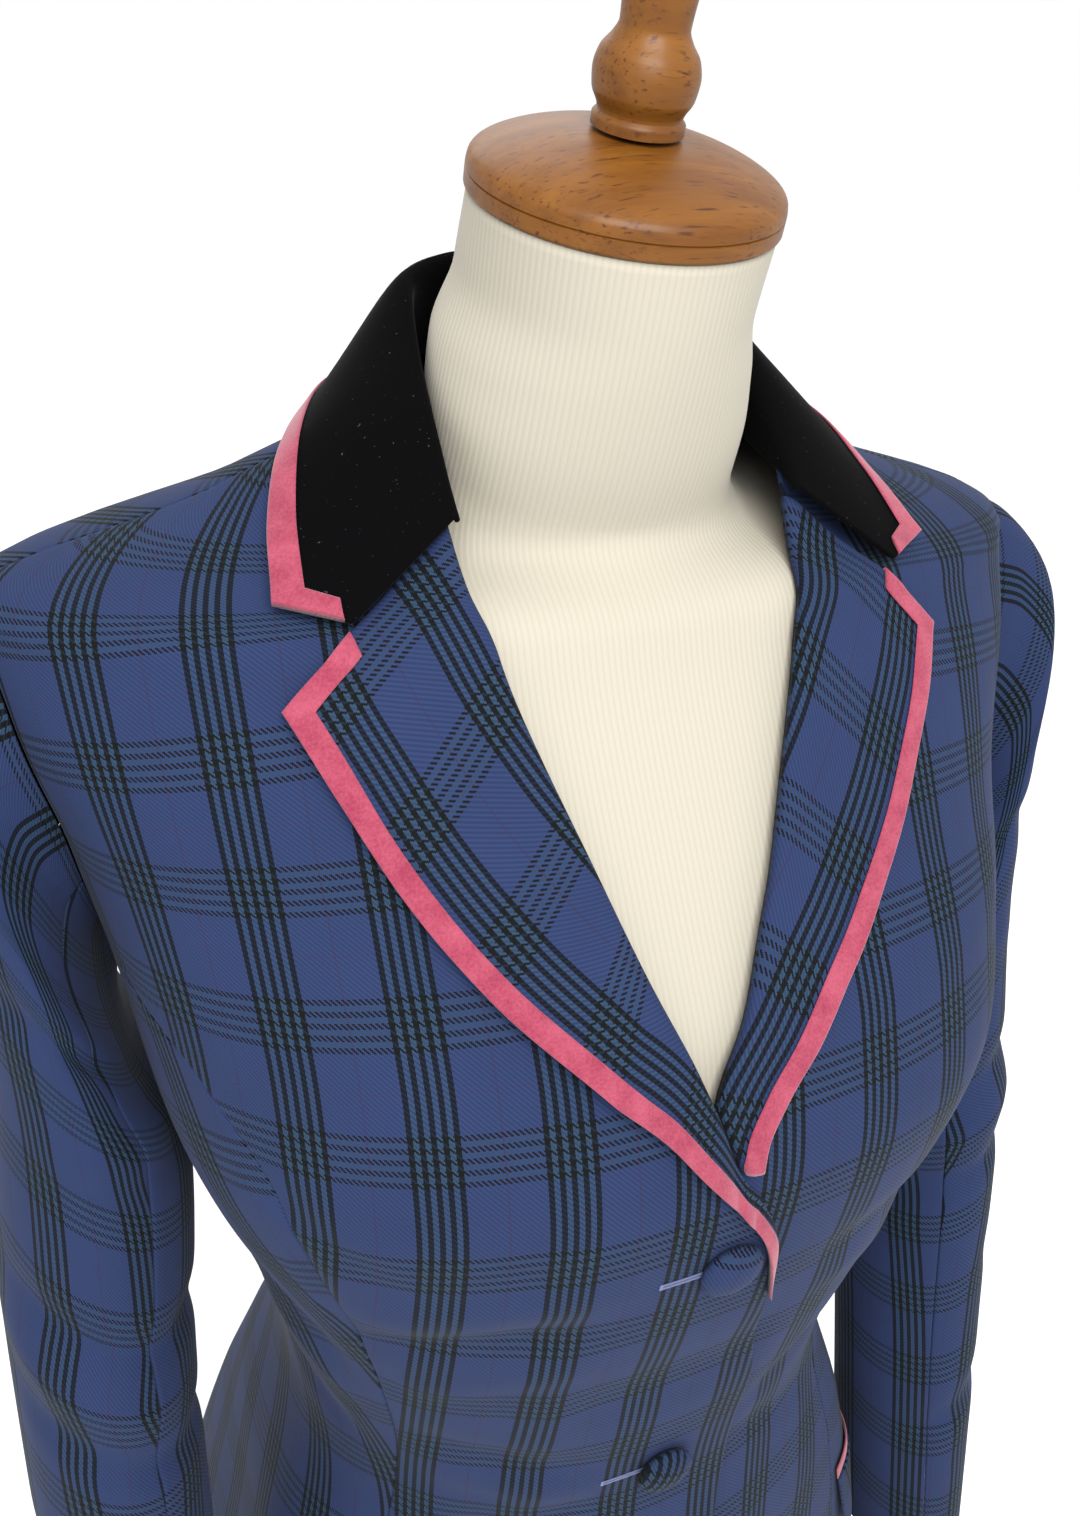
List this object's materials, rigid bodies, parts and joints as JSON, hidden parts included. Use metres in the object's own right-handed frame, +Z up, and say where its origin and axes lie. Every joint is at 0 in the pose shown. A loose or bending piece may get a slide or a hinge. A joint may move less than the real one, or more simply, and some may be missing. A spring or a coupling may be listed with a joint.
{
  "type": "hunt coat on a dress form",
  "caption": "Tailored hunt coat in blue check with a velvet collar and rose edging, buttoned on a limbless dress form on a turned stand.",
  "frame": {"origin": "centre of the base's underside", "axes": "+Z up along the pole, the coat's front faces -Y and the wearer's left is +X"},
  "size_m": [0.461, 0.3604, 1.0381],
  "materials": {
    "worsted": "fine twill check",
    "velvet": "short pile",
    "rose": "napped",
    "jersey": "fine rib",
    "beech": "satin varnish"
  },
  "bodies": {
    "root": {"front_right": "worsted", "front_left": "worsted", "side_right": "worsted", "side_left": "worsted", "back_right": "worsted", "back_left": "worsted", "sleeve_top_right": "worsted", "sleeve_top_left": "worsted", "sleeve_under_right": "worsted", "sleeve_under_left": "worsted", "lapel_right": "worsted", "lapel_left": "worsted", "pocket_flap_right": "worsted", "pocket_flap_left": "worsted", "button_1": "worsted", "button_2": "worsted", "button_3": "worsted", "collar": "velvet", "lapel_band_right": "rose", "lapel_band_left": "rose", "collar_band": "rose", "pocket_welt_right": "rose", "pocket_welt_left": "rose", "form_torso": "jersey", "neck_cap": "beech", "finial": "beech", "pole": "beech", "base": "beech"}
  },
  "joints": []
}
